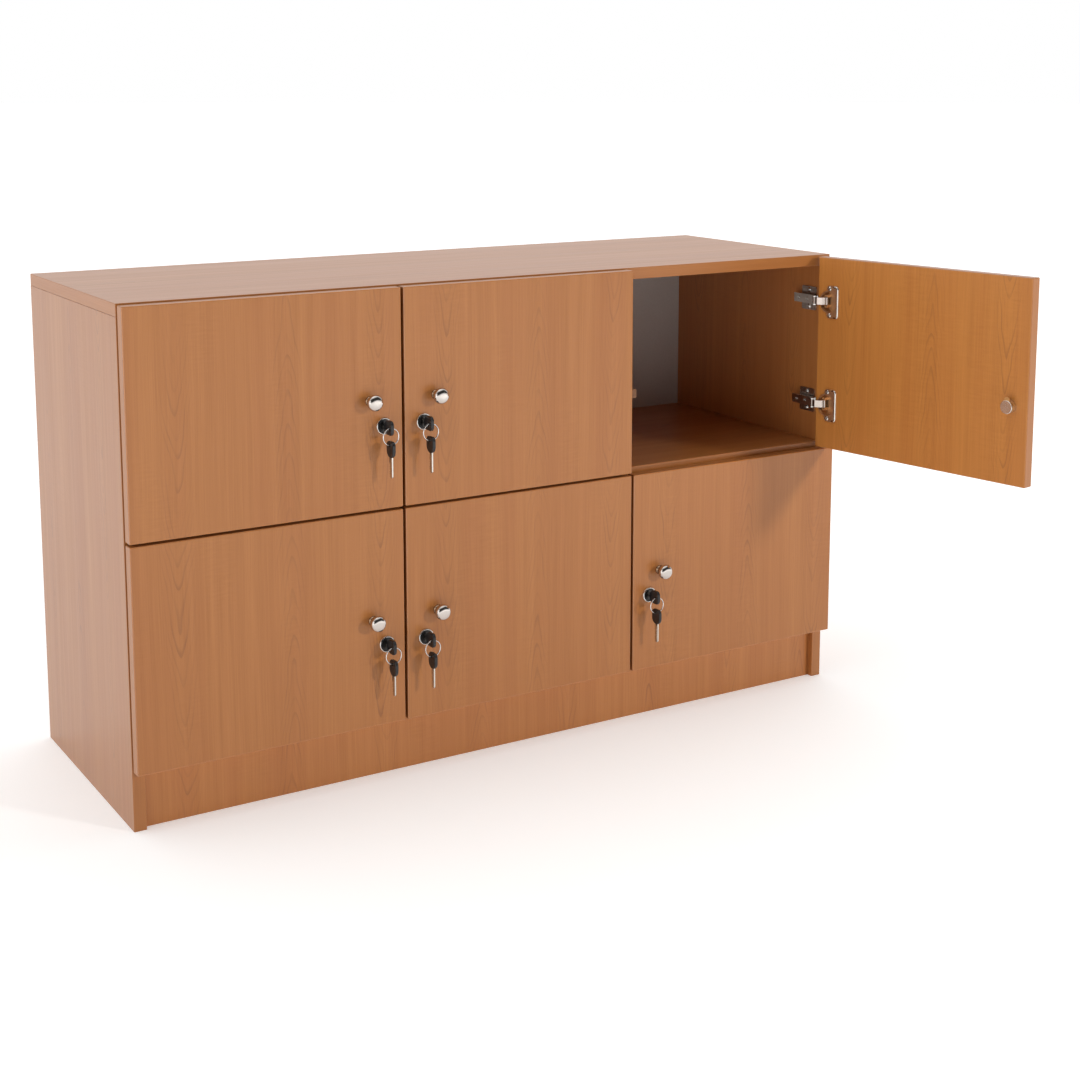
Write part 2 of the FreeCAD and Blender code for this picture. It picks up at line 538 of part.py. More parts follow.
# ================================================================ boards with their holes
for sx, name in ((-1, "left"), (1, "right")):
    x0, x1 = (-WIDTH / 2.0, -XI) if sx < 0 else (XI, WIDTH / 2.0)
    s = box(x0, x1, YF, YB, 0, Z_TOP)
    s = fillet_where(s, EDGE_R, lambda e: along(e, V(0, 0, 1)) and e.CenterOfMass.y < YF + 1)
    r0, r1 = (x1 - REBATE, x1 + 1.0) if sx < 0 else (x0 - 1.0, x0 + REBATE)
    s = s.cut(box(r0, r1, Y_HDF, YB + 1.0, PLINTH_H, Z_TOP + 1.0))
    add("side_panel_" + name, cut(s, *holes_side[sx]))
    d = box(sx * DIV_X - BOARD / 2.0, sx * DIV_X + BOARD / 2.0, YF, Y_HDF, Z_BOT, Z_TOP)
    d = fillet_where(d, EDGE_R, lambda e: along(e, V(0, 0, 1)) and e.CenterOfMass.y < YF + 1)
    add("dividers", cut(d, *holes_div[sx]))

top = box(-WIDTH / 2.0, WIDTH / 2.0, YF, YB, Z_TOP, HEIGHT)
top = top.makeFillet(EDGE_R, top.Edges)
top = top.cut(box(-XI - REBATE, XI + REBATE, Y_HDF, YB + 1.0, Z_TOP - 1.0, Z_TOP + REBATE))
add("top_panel", cut(top, *holes_top))

bottom = box(-XI, XI, YF, Y_HDF, PLINTH_H, Z_BOT)
bottom = fillet_where(bottom, EDGE_R, lambda e: along(e, V(1, 0, 0)) and e.CenterOfMass.y < YF + 1)
add("bottom_panel", cut(bottom, *holes_bottom))

inner = DIV_X - BOARD / 2.0
outer = DIV_X + BOARD / 2.0
for x0, x1 in ((-XI, -outer), (-inner, inner), (outer, XI)):
    s = box(x0, x1, YF, Y_HDF, SHELF_Z, SHELF_Z + BOARD)
    s = fillet_where(s, EDGE_R, lambda e: along(e, V(1, 0, 0)) and e.CenterOfMass.y < YF + 1)
    add("middle_shelves", cut(s, *holes_shelf))

add("back_panel", box(-XI - REBATE + 0.5, XI + REBATE - 0.5, Y_HDF, Y_HDF + HDF, PLINTH_H + 0.5, Z_TOP + REBATE - 0.5))

front = box(-XI, XI, -BOARD / 2.0, BOARD / 2.0, 0, PLINTH_H)
yr = Y_HDF - BOARD / 2.0 - 6.0
rear = box(-XI, XI, yr - BOARD / 2.0, yr + BOARD / 2.0, 0, PLINTH_H)
add("plinth_rails", cut(front, *holes_plinth), cut(rear, *holes_plinth))
add("dowels", *dowels)

# ================================================================ output
os.makedirs("parts", exist_ok=True)
for f in os.listdir("parts"):
    if f.endswith(".step"):
        os.remove(os.path.join("parts", f))
for node, solids in sorted(PARTS.items()):
    bad = [i for i, s in enumerate(solids) if not s.isValid()]
    shape = solids[0] if len(solids) == 1 else Part.makeCompound(solids)
    shape.exportStep(os.path.join("parts", node + ".step"))
    bb = shape.BoundBox
    print("%-18s solids %2d  vol %11.1f  box %.1f..%.1f  %.1f..%.1f  %.1f..%.1f %s" % (
        node, len(solids), shape.Volume, bb.XMin, bb.XMax, bb.YMin, bb.YMax, bb.ZMin, bb.ZMax, ("INVALID %s" % bad) if bad else ""))
print(len(PARTS), "nodes")
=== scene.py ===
import bpy
import bmesh
import math
from mathutils import Matrix, Vector


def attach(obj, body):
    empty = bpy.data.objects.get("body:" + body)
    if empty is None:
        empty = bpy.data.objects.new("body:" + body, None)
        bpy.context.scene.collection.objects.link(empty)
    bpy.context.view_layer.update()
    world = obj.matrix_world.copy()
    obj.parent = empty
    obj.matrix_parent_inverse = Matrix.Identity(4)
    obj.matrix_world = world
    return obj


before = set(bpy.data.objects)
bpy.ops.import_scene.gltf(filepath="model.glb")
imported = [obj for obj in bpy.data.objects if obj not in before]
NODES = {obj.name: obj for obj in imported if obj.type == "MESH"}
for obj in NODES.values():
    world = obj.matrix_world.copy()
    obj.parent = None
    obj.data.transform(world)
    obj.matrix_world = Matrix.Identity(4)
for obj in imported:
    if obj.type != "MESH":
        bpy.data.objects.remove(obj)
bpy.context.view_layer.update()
scene = bpy.context.scene

TAGS = ("ul", "um", "ur", "ll", "lm", "lr")
OPEN_TAG = "ur"
OPEN_DEG = 100.0

# ------------------------------------------------------------------ camera
CAM_POS = Vector((-1.2886, -2.1973, 1.0123))
YAW, PITCH = math.radians(31.409), math.radians(8.536)
cam_data = bpy.data.cameras.new("camera")
cam_data.sensor_width = 36.0
cam_data.lens = 57.879
cam_data.shift_y = -0.19
cam_data.clip_start, cam_data.clip_end = 0.05, 200.0
cam = bpy.data.objects.new("camera", cam_data)
scene.collection.objects.link(cam)
look = Vector((math.sin(YAW) * math.cos(PITCH), math.cos(YAW) * math.cos(PITCH), -math.sin(PITCH)))
cam.location = CAM_POS
cam.rotation_mode = "QUATERNION"
cam.rotation_quaternion = look.to_track_quat("-Z", "Y")
scene.camera = cam
scene.view_settings.view_transform = "Standard"
scene.view_settings.look = "None"

# ------------------------------------------------------------------ light
WORLD, BAND, KEY, SIDE, TOP, GLOW = 1.02, 0.95, 118.0, 17.5, 8.0, 0.47
world = bpy.data.worlds.new("studio")
scene.world = world
world.use_nodes = True
wn, wl = world.node_tree.nodes, world.node_tree.links
bg = wn["Background"]


def wmap(src, lo, hi, a, b):
    q = wn.new("ShaderNodeMapRange")
    q.interpolation_type = "SMOOTHSTEP"
    for k, v in (("From Min", lo), ("From Max", hi), ("To Min", a), ("To Max", b)):
        q.inputs[k].default_value = v
    wl.new(src, q.inputs["Value"])
    return q.outputs["Result"]


def wmath(op, a, b):
    q = wn.new("ShaderNodeMath")
    q.operation = op
    for i, v in enumerate((a, b)):
        if isinstance(v, bpy.types.NodeSocket):
            wl.new(v, q.inputs[i])
        else:
            q.inputs[i].default_value = v
    return q.outputs[0]


# a white room: the wall in front of the doors is darker between eye height and the ceiling
wtc = wn.new("ShaderNodeTexCoord")
wsep = wn.new("ShaderNodeSeparateXYZ")
wl.new(wtc.outputs["Generated"], wsep.inputs[0])
ahead = wmap(wsep.outputs[1], -0.55, 0.05, 1.0, 0.0)
mid = wmath("MULTIPLY", wmap(wsep.outputs[2], 0.01, 0.14, 0.0, 1.0), wmap(wsep.outputs[2], 0.70, 0.90, 1.0, 0.0))
shade = wmath("SUBTRACT", 1.0, wmath("MULTIPLY", wmath("MULTIPLY", ahead, mid), BAND))
lit = wmath("MULTIPLY", shade, WORLD)
ray = wn.new("ShaderNodeLightPath")
seen = wmath("ADD", wmath("MULTIPLY", lit, wmath("SUBTRACT", 1.0, ray.outputs["Is Camera Ray"])), ray.outputs["Is Camera Ray"])
bg.inputs["Color"].default_value = (1.0, 1.0, 1.0, 1.0)
wl.new(seen, bg.inputs["Strength"])


def area(name, pos, target, size, power, colour=(1, 1, 1), height=None):
    d = bpy.data.lights.new(name, "AREA")
    if height is None:
        d.shape = "DISK"
    else:
        d.shape = "RECTANGLE"
        d.size_y = height
    d.size = size
    d.energy = power
    d.color = colour
    o = bpy.data.objects.new(name, d)
    scene.collection.objects.link(o)
    o.location = pos
    o.rotation_mode = "QUATERNION"
    o.rotation_quaternion = (Vector(target) - Vector(pos)).to_track_quat("-Z", "Y")
    o.visible_camera = False
    return o


key = area("key", (2.91, -4.81, 2.00), (0.1, 0.0, 0.42), 0.60, KEY, (1.0, 0.985, 0.96))
key.visible_glossy = False
# the key is seen in polished metal only as a small soft glint
glint = area("glint", (2.91, -4.81, 2.00), (0.1, 0.0, 0.42), 0.60, 12.0)
glint.visible_diffuse = False
area("top", (-0.2, 0.5, 3.2), (0.0, 0.15, 0.72), 2.4, TOP, (1.0, 1.0, 1.0), 1.6)
area("side", (-3.6, -1.1, 1.1), (0.4, -0.2, 0.45), 3.0, SIDE, (1.0, 1.0, 1.0), 2.0)

# ------------------------------------------------------------------ node helpers


class Net:
    """A small wrapper to write shader graphs as expressions."""

    def __init__(self, mat):
        self.t = mat.node_tree
        self.n = self.t.nodes
        self.l = self.t.links

    def node(self, kind, **props):
        q = self.n.new(kind)
        for k, v in props.items():
            setattr(q, k, v)
        return q

    def put(self, socket, value):
        if isinstance(value, bpy.types.NodeSocket):
            self.l.new(value, socket)
        else:
            socket.default_value = value

    def math(self, op, a, b=0.0, c=None, clamp=False):
        q = self.node("ShaderNodeMath", operation=op, use_clamp=clamp)
        self.put(q.inputs[0], a)
        self.put(q.inputs[1], b)
        if c is not None:
            self.put(q.inputs[2], c)
        return q.outputs[0]

    def add(self, a, b):
        return self.math("ADD", a, b)

    def sub(self, a, b):
        return self.math("SUBTRACT", a, b)

    def mul(self, a, b):
        return self.math("MULTIPLY", a, b)

    def smooth(self, x, lo, hi, a=0.0, b=1.0):
        q = self.node("ShaderNodeMapRange", interpolation_type="SMOOTHSTEP")
        self.put(q.inputs["Value"], x)
        q.inputs["From Min"].default_value = lo
        q.inputs["From Max"].default_value = hi
        q.inputs["To Min"].default_value = a
        q.inputs["To Max"].default_value = b
        return q.outputs["Result"]

    def vec(self, x, y, z):
        q = self.node("ShaderNodeCombineXYZ")
        self.put(q.inputs[0], x)
        self.put(q.inputs[1], y)
        self.put(q.inputs[2], z)
        return q.outputs[0]

    def noise(self, v, scale=1.0, detail=2.0, rough=0.5, distort=0.0):
        q = self.node("ShaderNodeTexNoise", noise_dimensions="3D")
        self.put(q.inputs["Vector"], v)
        q.inputs["Scale"].default_value = scale
        q.inputs["Detail"].default_value = detail
        q.inputs["Roughness"].default_value = rough
        q.inputs["Distortion"].default_value = distort
        return q.outputs["Fac"]

    def mix(self, fac, a, b, blend="MIX"):
        q = self.node("ShaderNodeMix", data_type="RGBA", blend_type=blend)
        self.put(q.inputs["Factor"], fac)
        self.put(q.inputs[6], a)
        self.put(q.inputs[7], b)
        return q.outputs[2]

    def bump(self, height, strength, distance):
        q = self.node("ShaderNodeBump")
        q.inputs["Strength"].default_value = strength
        q.inputs["Distance"].default_value = distance
        self.put(q.inputs["Height"], height)
        return q.outputs["Normal"]

    def object_xyz(self, turn_deg=0.0, pivot=(0, 0, 0)):
        tc = self.node("ShaderNodeTexCoord")
        v = tc.outputs["Object"]
        if turn_deg:
            r = self.node("ShaderNodeVectorRotate", rotation_type="Z_AXIS")
            self.put(r.inputs["Vector"], v)
            r.inputs["Center"].default_value = pivot
            r.inputs["Angle"].default_value = math.radians(turn_deg)
            v = r.outputs[0]
        s = self.node("ShaderNodeSeparateXYZ")
        self.put(s.inputs[0], v)
        return s.outputs[0], s.outputs[1], s.outputs[2]


def principled(name):
    m = bpy.data.materials.new(name)
    m.use_nodes = True
    return m, m.node_tree.nodes["Principled BSDF"], Net(m)


def rgb(r, g, b):
    return (r, g, b, 1.0)


# ------------------------------------------------------------------ laminate
LIGHT = rgb(0.450, 0.177, 0.049)
DARK = rgb(0.330, 0.114, 0.027)
RED = rgb(0.392, 0.133, 0.038)
LINE = rgb(0.165, 0.059, 0.023)


def laminate(name, across, along, origin, seed, figures=(), turn=0.0, pivot=(0, 0, 0), gain=1.0, rough=0.32, ior=1.5):
    """Printed cherry laminate. across / along: axis index over and with the grain; origin: zero of both axes;
    figures: (distance across, +1 arches up or -1 arches down, phase) of each cathedral figure."""
    m, bsdf, g = principled(name)
    axes = g.object_xyz(turn, pivot)
    u = g.sub(axes[across], origin[0])
    w = g.sub(axes[along], origin[1])
    drift = g.noise(g.vec(g.mul(u, 4.0), g.mul(w, 1.6), seed), 1.0, 2.0, 0.5)
    us = g.add(u, g.mul(g.sub(drift, 0.5), 0.018))
    fine = g.noise(g.vec(g.mul(us, 620.0), g.mul(w, 7.0), seed + 3.1), 1.0, 3.0, 0.62)
    medium = g.noise(g.vec(g.mul(us, 95.0), g.mul(w, 1.5), seed + 7.7), 1.0, 3.0, 0.55)
    broad = g.noise(g.vec(g.mul(us, 22.0), g.mul(w, 0.6), seed + 11.3), 1.0, 2.0, 0.5)
    # short cross figure, in patches
    curl = g.noise(g.vec(g.mul(u, 42.0), g.mul(w, 300.0), seed + 17.9), 1.0, 1.0, 0.5)
    patch = g.smooth(g.noise(g.vec(g.mul(u, 13.0), g.mul(w, 4.0), seed + 23.0), 1.0, 1.0, 0.5), 0.48, 0.68)
    # pores: thin broken dashes with the grain
    pore = g.smooth(g.noise(g.vec(g.mul(us, 1150.0), g.mul(w, 46.0), seed + 29.0), 1.0, 1.0, 0.5), 0.64, 0.76)
    # cathedral figures: nested arches that run out into straight lines
    wob = g.noise(g.vec(g.mul(us, 22.0), g.mul(w, 9.0), seed + 31.0), 1.0, 2.0, 0.5)
    arch = None
    for k, (u0, sense, phase) in enumerate(figures):
        du = g.sub(us, u0)
        bend = g.math("SQRT", g.add(g.mul(du, du), 0.0000130))
        reach = g.add(g.mul(g.mul(du, du), 60.0), g.mul(bend, 4.6))
        f = g.add(g.mul(w, 27.0 * sense), g.mul(reach, 27.0))
        f = g.add(f, g.add(g.add(g.mul(wob, 3.2), g.mul(drift, 3.0)), phase))
        saw = g.math("FRACT", f)
        each = g.node("ShaderNodeTexWhiteNoise", noise_dimensions="1D")
        g.put(each.inputs["W"], g.add(g.math("FLOOR", f), seed + 5.0 * k))
        line = g.mul(g.smooth(saw, 0.55, 0.92), g.smooth(saw, 0.92, 1.0, 1.0, 0.0))
        line = g.mul(line, g.add(g.mul(each.outputs["Value"], 0.85), 0.15))
        soft = g.smooth(g.math("ABSOLUTE", du), 0.006, 0.030, 1.0, 0.0)
        part = g.mul(line, soft)
        arch = part if arch is None else g.math("MAXIMUM", arch, part)
    breakup = g.smooth(g.noise(g.vec(g.mul(us, 60.0), g.mul(w, 14.0), seed + 37.0), 1.0, 2.0, 0.6), 0.34, 0.62, 0.35, 1.0)
    # sum of the tones, 0 light .. 1 dark
    tone = g.add(g.mul(g.sub(fine, 0.5), 1.05), g.mul(g.sub(medium, 0.5), 1.0))
    tone = g.add(tone, g.mul(g.sub(broad, 0.5), 0.55))
    tone = g.add(tone, g.mul(g.mul(g.sub(curl, 0.5), patch), 0.45))
    tone = g.add(tone, g.mul(pore, 0.20))
    tone = g.math("ADD", tone, 0.34, clamp=True)
    col = g.mix(tone, LIGHT, DARK)
    red = g.smooth(broad, 0.40, 0.66)
    col = g.mix(g.mul(red, 0.22), col, RED)
    if arch is not None:
        lines = g.mul(g.mul(arch, breakup), 0.42)
        col = g.mix(lines, col, LINE)
    # gain multiplies the colour; some calls below use it for painted light or painted shade
    if not isinstance(gain, tuple):
        gain = (gain, gain, gain)
    if gain != (1.0, 1.0, 1.0):
        col = g.mix(1.0, col, rgb(*gain), "MULTIPLY")
    g.put(bsdf.inputs["Base Color"], col)
    r = g.add(g.mul(g.sub(medium, 0.5), 0.10), g.mul(g.sub(fine, 0.5), 0.08))
    g.put(bsdf.inputs["Roughness"], g.add(r, rough))
    h = g.sub(g.mul(fine, 0.5), g.mul(pore, 0.8))
    g.put(bsdf.inputs["Normal"], g.bump(h, 0.10, 0.00025))
    bsdf.inputs["IOR"].default_value = ior
    return m


def edge_band(name, along, seed, turn=0.0, pivot=(0, 0, 0), gain=1.0, rough=0.33, ior=1.5):
    """Thin plastic edging: straight lines with the length of the edge."""
    m, bsdf, g = principled(name)
    axes = g.object_xyz(turn, pivot)
    w = axes[along]
    o = [axes[i] for i in range(3) if i != along]
    fine = g.noise(g.vec(g.mul(o[0], 900.0), g.mul(o[1], 900.0), g.add(g.mul(w, 8.0), seed)), 1.0, 3.0, 0.6)
    broad = g.noise(g.vec(g.mul(o[0], 60.0), g.mul(o[1], 60.0), g.add(g.mul(w, 2.0), seed + 5.0)), 1.0, 2.0, 0.5)
    tone = g.math("ADD", g.add(g.mul(g.sub(fine, 0.5), 0.9), g.mul(g.sub(broad, 0.5), 0.8)), 0.36, clamp=True)
    # gain multiplies the colour; some calls below use it for painted light or painted shade
    col = g.mix(tone, rgb(0.43 * gain, 0.165 * gain, 0.044 * gain), rgb(0.31 * gain, 0.106 * gain, 0.025 * gain))
    g.put(bsdf.inputs["Base Color"], col)
    g.put(bsdf.inputs["Roughness"], g.add(g.mul(g.sub(fine, 0.5), 0.10), rough))
    g.put(bsdf.inputs["Normal"], g.bump(fine, 0.06, 0.0002))
    bsdf.inputs["IOR"].default_value = ior
    return m


# ------------------------------------------------------------------ metals, plastic, boards
def metal(name, colour, rough, grain=(400.0, 400.0, 400.0), vary=0.08, tint=0.10, bump=0.03):
    m, bsdf, g = principled(name)
    x, y, z = g.object_xyz()
    n = g.noise(g.vec(g.mul(x, grain[0]), g.mul(y, grain[1]), g.mul(z, grain[2])), 1.0, 3.0, 0.6)
    big = g.noise(g.vec(g.mul(x, 60.0), g.mul(y, 60.0), g.mul(z, 60.0)), 1.0, 2.0, 0.5)
    dark = tuple(c * (1.0 - tint) for c in colour[:3]) + (1.0,)
    g.put(bsdf.inputs["Base Color"], g.mix(g.smooth(big, 0.35, 0.7), colour, dark))
    bsdf.inputs["Metallic"].default_value = 1.0
    r = g.add(g.mul(g.sub(n, 0.5), vary), g.mul(g.sub(big, 0.5), vary))
    g.put(bsdf.inputs["Roughness"], g.math("ADD", r, rough, clamp=True))
    g.put(bsdf.inputs["Normal"], g.bump(n, bump, 0.00008))
    return m


CHROME = metal("chrome_polished", rgb(0.74, 0.735, 0.73), 0.07, (900, 900, 900), 0.05, 0.06, 0.01)
# painted shade and painted reflection: the knobs' chrome is darker and warmer than the other polished metals
KNOB = metal("chrome_knob", rgb(0.62, 0.565, 0.525), 0.06, (900, 900, 900), 0.05, 0.06, 0.01)
# painted reflection: dark brown metal for the knobs' neck and foot, standing for the wood reflected in them
NECK_PAINTED_REFLECTION = metal("chrome_knob_neck_painted_reflection", rgb(0.30, 0.19, 0.12), 0.10, (900, 900, 900), 0.05, 0.08, 0.01)
NICKEL = metal("nickel_pressed", rgb(0.60, 0.585, 0.56), 0.24, (700, 700, 120), 0.14, 0.14, 0.05)
ZINC = metal("zinc_plated", rgb(0.52, 0.53, 0.55), 0.34, (500, 500, 500), 0.16, 0.20, 0.05)
# the front of the lock plug is near-black
PLUG = metal("plug_front_dark", rgb(0.085, 0.080, 0.076), 0.30, (800, 800, 800), 0.12, 0.18, 0.04)
BLADE = metal("key_blade_nickel", rgb(0.70, 0.67, 0.61), 0.22, (600, 600, 160), 0.12, 0.14, 0.05)
BRIGHT = metal("nickel_bright", rgb(0.72, 0.70, 0.665), 0.13, (900, 900, 200), 0.08, 0.10, 0.03)
LINK = metal("link_warm_chrome", rgb(0.53, 0.455, 0.41), 0.14, (900, 900, 200), 0.08, 0.08, 0.02)
# painted reflection: brown metal on the hinge cups and flanges, standing for the wood reflected in them
CUP_PAINTED_REFLECTION = metal("cup_brown_painted_reflection", rgb(0.80, 0.52, 0.30), 0.40, (700, 700, 700), 0.14, 0.16, 0.05)
ROSETTE = metal("rosette_bright", rgb(0.83, 0.815, 0.79), 0.20, (900, 900, 900), 0.08, 0.06, 0.02)
YELLOW = metal("cam_yellow_zinc", rgb(0.66, 0.40, 0.17), 0.38, (500, 500, 500), 0.14, 0.18, 0.05)
RING = metal("ring_steel", rgb(0.72, 0.71, 0.70), 0.16, (900, 900, 900), 0.08, 0.10, 0.02)


def plastic_black(name, rough):
    m, bsdf, g = principled(name)
    x, y, z = g.object_xyz()
    n = g.noise(g.vec(g.mul(x, 1500.0), g.mul(y, 1500.0), g.mul(z, 1500.0)), 1.0, 2.0, 0.6)
    wear = g.smooth(g.noise(g.vec(g.mul(x, 190.0), g.mul(y, 190.0), g.mul(z, 190.0)), 1.0, 3.0, 0.6), 0.52, 0.78)
    g.put(bsdf.inputs["Base Color"], g.mix(wear, rgb(0.011, 0.011, 0.012), rgb(0.034, 0.033, 0.033)))
    g.put(bsdf.inputs["Roughness"], g.add(g.mul(wear, 0.16), g.add(g.mul(g.sub(n, 0.5), 0.14), rough)))
    g.put(bsdf.inputs["Normal"], g.bump(n, 0.25, 0.00012))
    return m


def hardboard(name, light, dark, rough):
    m, bsdf, g = principled(name)
    x, y, z = g.object_xyz()
    fib = g.noise(g.vec(g.mul(x, 260.0), g.mul(y, 260.0), g.mul(z, 260.0)), 1.0, 4.0, 0.7, 0.6)
    cloud = g.noise(g.vec(g.mul(x, 7.0), g.mul(y, 7.0), g.mul(z, 7.0)), 1.0, 3.0, 0.55)
    speck = g.smooth(g.noise(g.vec(g.mul(x, 820.0), g.mul(y, 820.0), g.mul(z, 820.0)), 1.0, 1.0, 0.5), 0.66, 0.78)
    t = g.math("ADD", g.add(g.mul(g.sub(fib, 0.5), 0.9), g.mul(g.sub(cloud, 0.5), 0.7)), g.add(g.mul(speck, 0.3), 0.4), clamp=True)
    g.put(bsdf.inputs["Base Color"], g.mix(t, light, dark))
    g.put(bsdf.inputs["Roughness"], g.add(g.mul(g.sub(fib, 0.5), 0.2), rough))
    g.put(bsdf.inputs["Normal"], g.bump(fib, 0.12, 0.0003))
    return m


def beech(name):
    m, bsdf, g = principled(name)
    x, y, z = g.object_xyz()
    f = g.noise(g.vec(g.mul(x, 700.0), g.mul(y, 700.0), g.mul(z, 60.0)), 1.0, 3.0, 0.6)
    g.put(bsdf.inputs["Base Color"], g.mix(f, rgb(0.58, 0.39, 0.22), rgb(0.40, 0.24, 0.12)))
    g.put(bsdf.inputs["Roughness"], g.add(g.mul(f, 0.2), 0.5))
    g.put(bsdf.inputs["Normal"], g.bump(f, 0.2, 0.0002))
    return m


BOW = plastic_black("key_bow_plastic", 0.30)
# the floor of the rosette's hollow is near-black
RECESS = plastic_black("lock_recess_dark", 0.36)


def brown_lacquer(name):
    m, bsdf, g = principled(name)
    x, y, z = g.object_xyz()
    n = g.noise(g.vec(g.mul(x, 900.0), g.mul(y, 900.0), g.mul(z, 900.0)), 1.0, 3.0, 0.6)
    big = g.noise(g.vec(g.mul(x, 120.0), g.mul(y, 120.0), g.mul(z, 120.0)), 1.0, 2.0, 0.5)
    g.put(bsdf.inputs["Base Color"], g.mix(big, rgb(0.200, 0.082, 0.028), rgb(0.150, 0.058, 0.020)))
    g.put(bsdf.inputs["Roughness"], g.add(g.mul(g.sub(n, 0.5), 0.16), 0.42))
    g.put(bsdf.inputs["Normal"], g.bump(n, 0.10, 0.0001))
    return m


BROWN = brown_lacquer("strike_brown_lacquer")
GREY_BOARD = hardboard("back_grey_lacquer", rgb(0.54, 0.505, 0.48), rgb(0.43, 0.40, 0.38), 0.45)
RAW_BOARD = hardboard("back_raw_hardboard", rgb(0.30, 0.175, 0.090), rgb(0.19, 0.103, 0.050), 0.72)
BEECH = beech("dowel_beech")
CHIP = hardboard("raw_chipboard_edge", rgb(0.50, 0.35, 0.20), rgb(0.30, 0.19, 0.10), 0.85)


# ------------------------------------------------------------------ giving faces their materials
def dress(node, materials, choose):
    """Puts a list of materials on a CAD node; choose(normal, centre) gives the index for a face."""
    o = NODES[node]
    me = o.data
    me.materials.clear()
    for m in materials:
        me.materials.append(m)
    for p in me.polygons:
        p.material_index = choose(p.normal, p.center)
    return o


INSIDE_PAINTED_LIGHT = (1.29, 1.30, 1.04)  # painted light: the insides of all doors are made paler and yellower, standing for the light that falls on the open door's inner face
DOOR_X = {"l": (-0.599, -0.199), "m": (-0.195, 0.195), "r": (0.199, 0.599)}
DOOR_Z = {"u": (0.4035, 0.718), "l": (0.0855, 0.400)}
CARC_Y = -0.019
# full turn of the open door back to its closed place: cup pin, then arm pin
P1 = Vector((0.599 - 0.034, CARC_Y - 0.005, 0.0))
P2 = Vector((0.599 - 0.013, CARC_Y - 0.009, 0.0))
TO_OPEN = (Matrix.Translation(P1) @ Matrix.Rotation(math.radians(-48.0), 4, "Z") @ Matrix.Translation(-P1)
           @ Matrix.Translation(P2) @ Matrix.Rotation(math.radians(148.0), 4, "Z") @ Matrix.Translation(-P2))
# fixed point of that motion, in plan
_a = TO_OPEN.to_2x2()
_t = TO_OPEN.to_translation()
_m = Matrix(((1 - TO_OPEN[0][0], -TO_OPEN[0][1]), (-TO_OPEN[1][0], 1 - TO_OPEN[1][1])))
_c = _m.inverted() @ Vector((_t.x, _t.y))
POLE = (_c.x, _c.y, 0.0)
FROM_OPEN = TO_OPEN.inverted()

for i, tag in enumerate(TAGS):
    x0, x1 = DOOR_X[tag[1]]
    z0, z1 = DOOR_Z[tag[0]]
    turn = -OPEN_DEG if tag == OPEN_TAG else 0.0
    wd = x1 - x0
    figs = ((0.165 * wd, -1, 0.3 + 0.37 * i), (0.565 * wd, 1, 0.9 + 0.53 * i), (0.905 * wd, -1, 0.55 + 0.41 * i))
    front = laminate("laminate_door_" + tag, 0, 2, (x0, z0 + (0.0 if tag[0] == "l" else 0.003)), 2.0 + 13.7 * i, figs, turn, POLE)
    figs = tuple((wd - f[0], f[1], f[2] + 0.45) for f in figs)
    inner = laminate("laminate_door_inside_painted_light_" + tag, 0, 2, (x0, z0), 53.0 + 17.3 * i, figs, turn, POLE, INSIDE_PAINTED_LIGHT)
    band_z = edge_band("edging_upright_" + tag, 2, 3.0 + i, turn, POLE)
    band_x = edge_band("edging_level_" + tag, 0, 9.0 + i, turn, POLE)
    # painted highlight: the rounded edges get edging made 1.15 times paler (with lower roughness and higher IOR),
    # standing for the highlight along them
    rim_z = edge_band("edging_round_upright_" + tag, 2, 15.0 + i, turn, POLE, 1.15, 0.20, 1.85)
    rim_x = edge_band("edging_round_level_" + tag, 0, 21.0 + i, turn, POLE, 1.15, 0.20, 1.85)
    # painted shade: the edges between two doors in a row are darkened, standing for the shade in the gaps
    band_gap_painted_shade = edge_band("edging_between_painted_shade_" + tag, 2, 27.0 + i, turn, POLE, 0.65, 0.40) if tag in ("um", "lm", "lr") else band_z
    back_rot = FROM_OPEN.to_3x3() if tag == OPEN_TAG else Matrix.Identity(3)

    def choose(n, c, rot=back_rot):
        q = rot @ n
        if abs(q.y) > 0.97:
            return 0 if q.y < 0.0 else 3
        level = abs(q.z) > abs(q.x)
        # the rounded edge facets get the paler edging: painted highlight
        if -0.97 < q.y < -0.25:
            return 5 if level else 4
        if q.y > 0.80:
            return 3
        # index 6: upright edges facing -x; on um, lm and lr this edging is darkened as painted shade in the gap
        return 2 if level else (6 if q.x < 0.0 else 1)

    dress("door_panel_" + tag, [front, band_z, band_x, inner, rim_z, rim_x, band_gap_painted_shade], choose)

# painted shade: both outer sides use the laminate darkened to 0.93
side_l = laminate("laminate_side_left", 1, 2, (CARC_Y, 0.0), 101.0, ((0.08, -1, 0.2), (0.215, 1, 0.7), (0.34, -1, 0.45)), gain=0.93, ior=1.62)
side_r = laminate("laminate_side_right", 1, 2, (CARC_Y, 0.0), 141.0, ((0.10, -1, 0.6), (0.24, 1, 0.1), (0.36, -1, 0.8)), gain=0.93, ior=1.62)
band_side = edge_band("edging_carcass_upright", 2, 31.0)
band_level = edge_band("edging_carcass_level", 0, 37.0)
band_deep = edge_band("edging_carcass_deep", 1, 41.0)
# painted light: the inside faces of the sides are made 1.10 times paler
side_in = laminate("laminate_side_inside", 1, 2, (CARC_Y, 0.0), 161.0, ((0.07, -1, 0.1), (0.20, 1, 0.6), (0.33, -1, 0.3)), gain=1.10)
for name, mat, out in (("side_panel_left", side_l, -1.0), ("side_panel_right", side_r, 1.0)):
    def choose(n, c, out=out):
        if abs(n.x) > 0.80:
            return 0 if n.x * out > 0.0 else 3
        if n.y < -0.3 or n.y > 0.3:
            return 1
        return 2
    dress(name, [mat, band_side, band_deep, side_in], choose)

